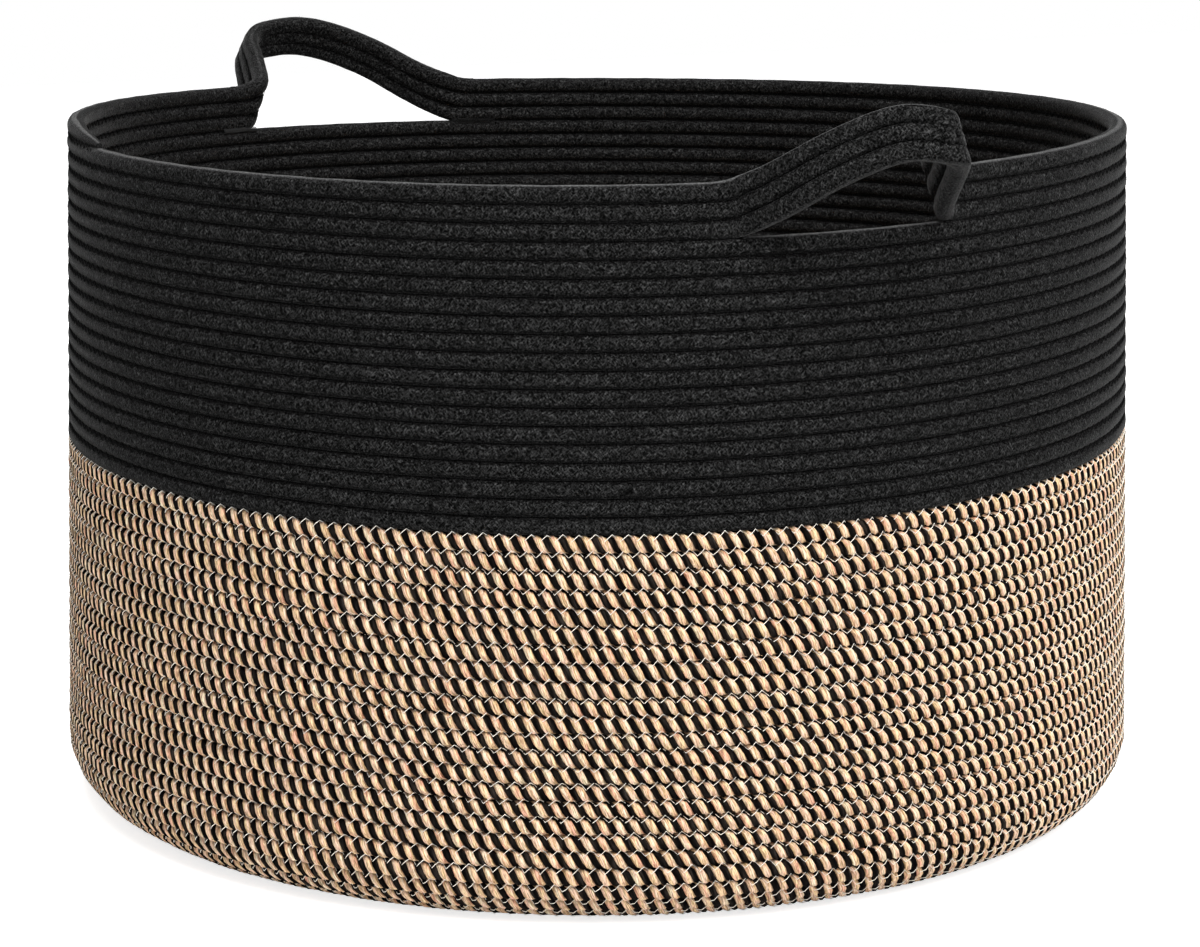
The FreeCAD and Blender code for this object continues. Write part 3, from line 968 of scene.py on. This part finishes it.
base_inside = sewn("base_stitches_inside", [(0, BASE_TURNS)], -1, NATURAL_SEWING, natural_thread,
                   "natural_thread", sides=3)
sewn("base_stitches_outside", [(0, BASE_TURNS)], 1, NATURAL_SEWING, natural_thread, "natural_thread", sides=3)
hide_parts("base_thread")
sewn_rear = [(right_end - 1, left_start - 1) for right_end, left_start in rear_stretches]
sewn_front = [(left_end - 1, next_right - 1) for left_end, next_right in front_stretches]
SEAMS = [
    # name, stretches of turns, the stitches' depths, thread, slot, the CAD thread that it stands for
    ("two_tone", [(BASE_TURNS, TWO_TONE_TURNS)], NATURAL_SEWING, natural_thread, "natural_thread",
     "two_tone_thread"),
    ("black", [(TWO_TONE_TURNS, wall_end - 1)], BLACK_SEWING, black_thread, "black_thread", "black_thread"),
    ("rim_rear", sewn_rear, BLACK_SEWING, black_thread, "black_thread", "rim_thread_rear"),
    ("rim_front", sewn_front, BLACK_SEWING, black_thread, "black_thread", "rim_thread_front"),
]
for side_name, side, sides in (("outside", 1, 4), ("inside", -1, 3)):
    for seam_name, stretches, sewing, thread, slot, stood_for in SEAMS:
        name = f"{seam_name}_stitches_{side_name}"
        stitches = sewn(name, stretches, side, sewing, thread, slot, sides=sides)
        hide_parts(stood_for)
    for body, azimuth, half_span in HANDLES:
        lines = strap_lines[body]
        meshes = []
        for number, (lower, upper) in enumerate(zip(lines, lines[1:])):
            seam = (lower + upper) / 2
            length = distances_along(seam)[-1]
            copies = round(length / STITCH_LENGTH)
            lay = zigzag(side, BLACK_SEWING, STITCH_LENGTH, sides)
            mesh = lengthen(f"{body}_seam_{number}", lay, STITCH_LENGTH, copies)
            straight = points_of(mesh)
            along, inward, upward = straight.T
            along = along * length / (copies * STITCH_LENGTH)
            placed = bent(seam, lines[2] - lines[0], along, inward, upward)
            place_points(mesh, placed, straight)
            meshes.append(mesh)
        name = f"{body}_stitches_{side_name}"
        stitches = in_scene(name, joined_mesh(name, meshes))
        stitches.data.materials.append(black_thread)
        hinged(stitches)

# Close back-and-forth stitches bar each end of a hand hole on the inside and keep the seam from opening.
tack_thread = thread_cotton("tack_thread", ((0.3, grey(0.006)), (0.65, grey(0.026))), 0.4)
bar = TACK_LENGTH / (FULL_TURN * RIM_RADIUS)
for (body, azimuth, half_span), (first_turn, last_turn) in zip(HANDLES, hole_floors):
    sewn(f"{body}_bar_tacks", [(first_turn - bar, first_turn), (last_turn, last_turn + bar)], -1,
         TACK_SEWING, tack_thread, "black_thread", TACK_STITCH)


# ---------------------------------------------------------------- floor, light and camera
# A pale seamless floor under soft studio light, stronger from the right; a long lens looks slightly down.
floor = bmesh.new()
bmesh.ops.create_grid(floor, x_segments=1, y_segments=1, size=4.0)
floor_object = in_scene("floor", as_mesh("floor", floor))
paper = bpy.data.materials.new("white_paper")
paper.use_nodes = True
paper_nodes = paper.node_tree.nodes
paper_links = paper.node_tree.links
paper_face = paper_nodes["Principled BSDF"]
paper_face.inputs["Base Color"].default_value = (0.85, 0.85, 0.85, 1)
paper_face.inputs["Roughness"].default_value = 0.9
paper_seen = paper_nodes.new("ShaderNodeLightPath")
paper_glow = paper_nodes.new("ShaderNodeEmission")
paper_glow.inputs["Strength"].default_value = 0.75
paper_added = paper_nodes.new("ShaderNodeAddShader")
paper_mix = paper_nodes.new("ShaderNodeMixShader")
paper_links.new(paper_face.outputs["BSDF"], paper_added.inputs[0])
paper_links.new(paper_glow.outputs["Emission"], paper_added.inputs[1])
paper_links.new(paper_seen.outputs["Is Camera Ray"], paper_mix.inputs["Fac"])
paper_links.new(paper_face.outputs["BSDF"], paper_mix.inputs[1])
paper_links.new(paper_added.outputs["Shader"], paper_mix.inputs[2])
paper_links.new(paper_mix.outputs["Shader"], paper_nodes["Material Output"].inputs["Surface"])
floor_object.data.materials.append(paper)

VIEW_AZIMUTH = math.radians(-29.1)
CAMERA_DISTANCE = 1.768
CAMERA_HEIGHT = 0.527
CAMERA_PITCH = 0.205
camera_data = bpy.data.cameras.new("camera")
camera_data.lens = 100.95
camera_data.sensor_width = 36.0
camera_data.shift_x = 0.0025
camera = bpy.data.objects.new("camera", camera_data)
camera.location = (CAMERA_DISTANCE * math.cos(VIEW_AZIMUTH), CAMERA_DISTANCE * math.sin(VIEW_AZIMUTH),
                   CAMERA_HEIGHT)
looking = Vector((-math.cos(VIEW_AZIMUTH) * math.cos(CAMERA_PITCH),
                  -math.sin(VIEW_AZIMUTH) * math.cos(CAMERA_PITCH), -math.sin(CAMERA_PITCH)))
camera.rotation_euler = looking.to_track_quat("-Z", "Y").to_euler()
bpy.context.scene.collection.objects.link(camera)
bpy.context.scene.camera = camera

LIT_POINT = Vector((0, 0, 0.18))      # every lamp is aimed at the middle of the basket
SOFTBOXES = [
    # name, degrees to the right of the camera, height, distance, size, power
    ("key", 35, 2.5, 2.3, 2.0, 90),
    ("fill", -50, 1.5, 2.8, 2.2, 5),
    ("back", 170, 1.8, 2.4, 1.6, 20),
    ("top", 0, 3.0, 0.7, 2.2, 95),
]
for name, turn, height, distance, width, power in SOFTBOXES:
    lamp_data = bpy.data.lights.new(name, "AREA")
    lamp_data.shape = "SQUARE"
    lamp_data.size = width
    lamp_data.energy = power
    lamp = bpy.data.objects.new(name, lamp_data)
    azimuth = VIEW_AZIMUTH + math.radians(turn)
    lamp.location = (distance * math.cos(azimuth), distance * math.sin(azimuth), height)
    lamp.rotation_euler = (LIT_POINT - lamp.location).to_track_quat("-Z", "Y").to_euler()
    bpy.context.scene.collection.objects.link(lamp)

world = bpy.data.worlds.new("studio")
bpy.context.scene.world = world
world.use_nodes = True
world_nodes = world.node_tree.nodes
world_links = world.node_tree.links
sky = world_nodes["Background"]
sky.inputs["Color"].default_value = (1, 1, 1, 1)
sky.inputs["Strength"].default_value = 0.28
seen = world_nodes.new("ShaderNodeLightPath")
white = world_nodes.new("ShaderNodeBackground")
white.inputs["Color"].default_value = (1, 1, 1, 1)
white.inputs["Strength"].default_value = 1.0
chosen = world_nodes.new("ShaderNodeMixShader")
world_links.new(seen.outputs["Is Camera Ray"], chosen.inputs["Fac"])
world_links.new(sky.outputs["Background"], chosen.inputs[1])
world_links.new(white.outputs["Background"], chosen.inputs[2])
world_links.new(chosen.outputs["Shader"], world_nodes["World Output"].inputs["Surface"])
bpy.context.scene.view_settings.view_transform = "Standard"
